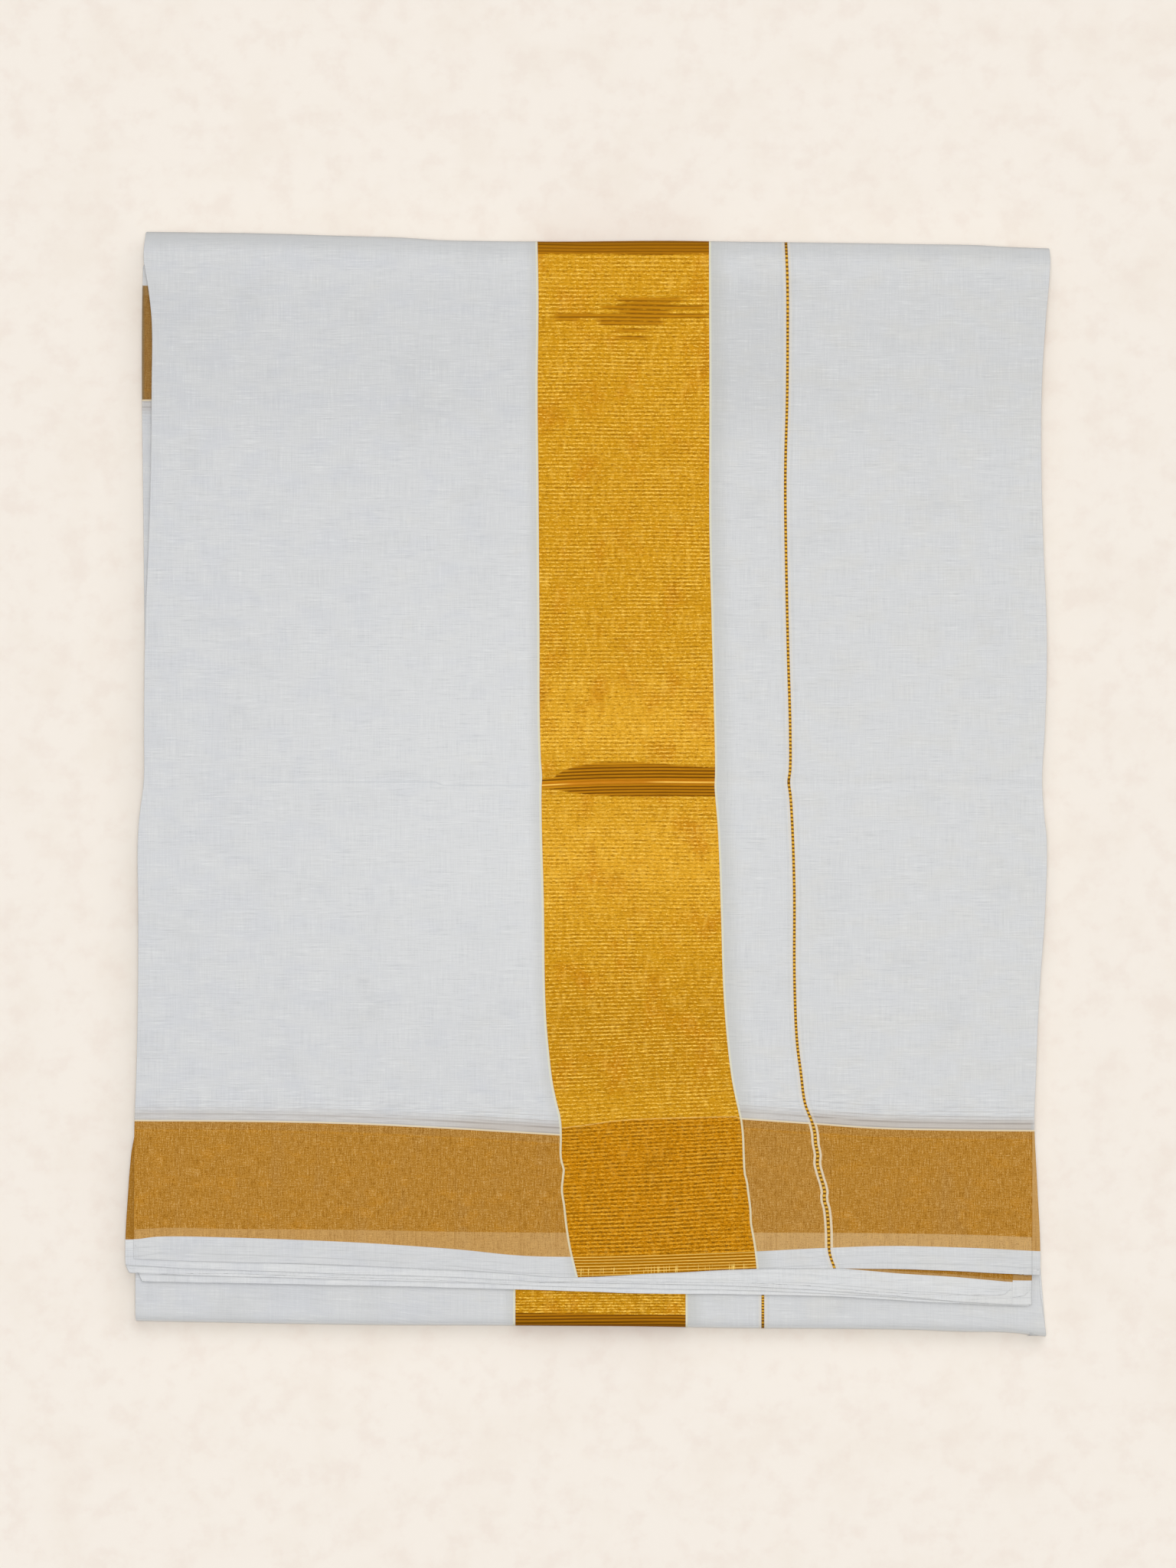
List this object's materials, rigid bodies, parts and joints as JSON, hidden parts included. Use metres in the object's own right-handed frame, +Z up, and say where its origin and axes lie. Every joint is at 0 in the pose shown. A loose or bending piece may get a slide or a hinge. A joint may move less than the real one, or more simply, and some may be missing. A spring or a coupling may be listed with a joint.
{
  "type": "folded saree",
  "caption": "Sheer white cotton saree with woven gold borders and a broad gold end band, folded flat into a rectangular stack of plies.",
  "frame": {"origin": "centre of the folded stack, on the surface it lies on", "axes": "+X along the cloth's length, to the right of the picture; +Y across the cloth, towards the top fold; +Z up from the surface, out of the top panel"},
  "size_m": [0.3488, 0.4167, 0.0159],
  "materials": {
    "top_cloth": "sheer plain-weave white cotton with woven metallic gold bands",
    "strip_cloth": "sheer plain-weave white cotton with a woven gold border",
    "lower_cloth": "sheer plain-weave white cotton with woven metallic gold bands",
    "step_cloth": "white cotton selvedges with a woven gold border",
    "folded_edges": "pressed folds of white cotton",
    "under_cloth": "white cotton selvedges with a woven gold border"
  },
  "bodies": {
    "root": {"top_panel": "top_cloth", "left_strip": "strip_cloth", "lower_panel": "lower_cloth", "selvedge_ply_2": "step_cloth", "selvedge_ply_3": "step_cloth", "selvedge_ply_4": "step_cloth", "inner_plies": "folded_edges", "under_ply_2": "under_cloth", "under_ply_3": "under_cloth"}
  },
  "joints": []
}
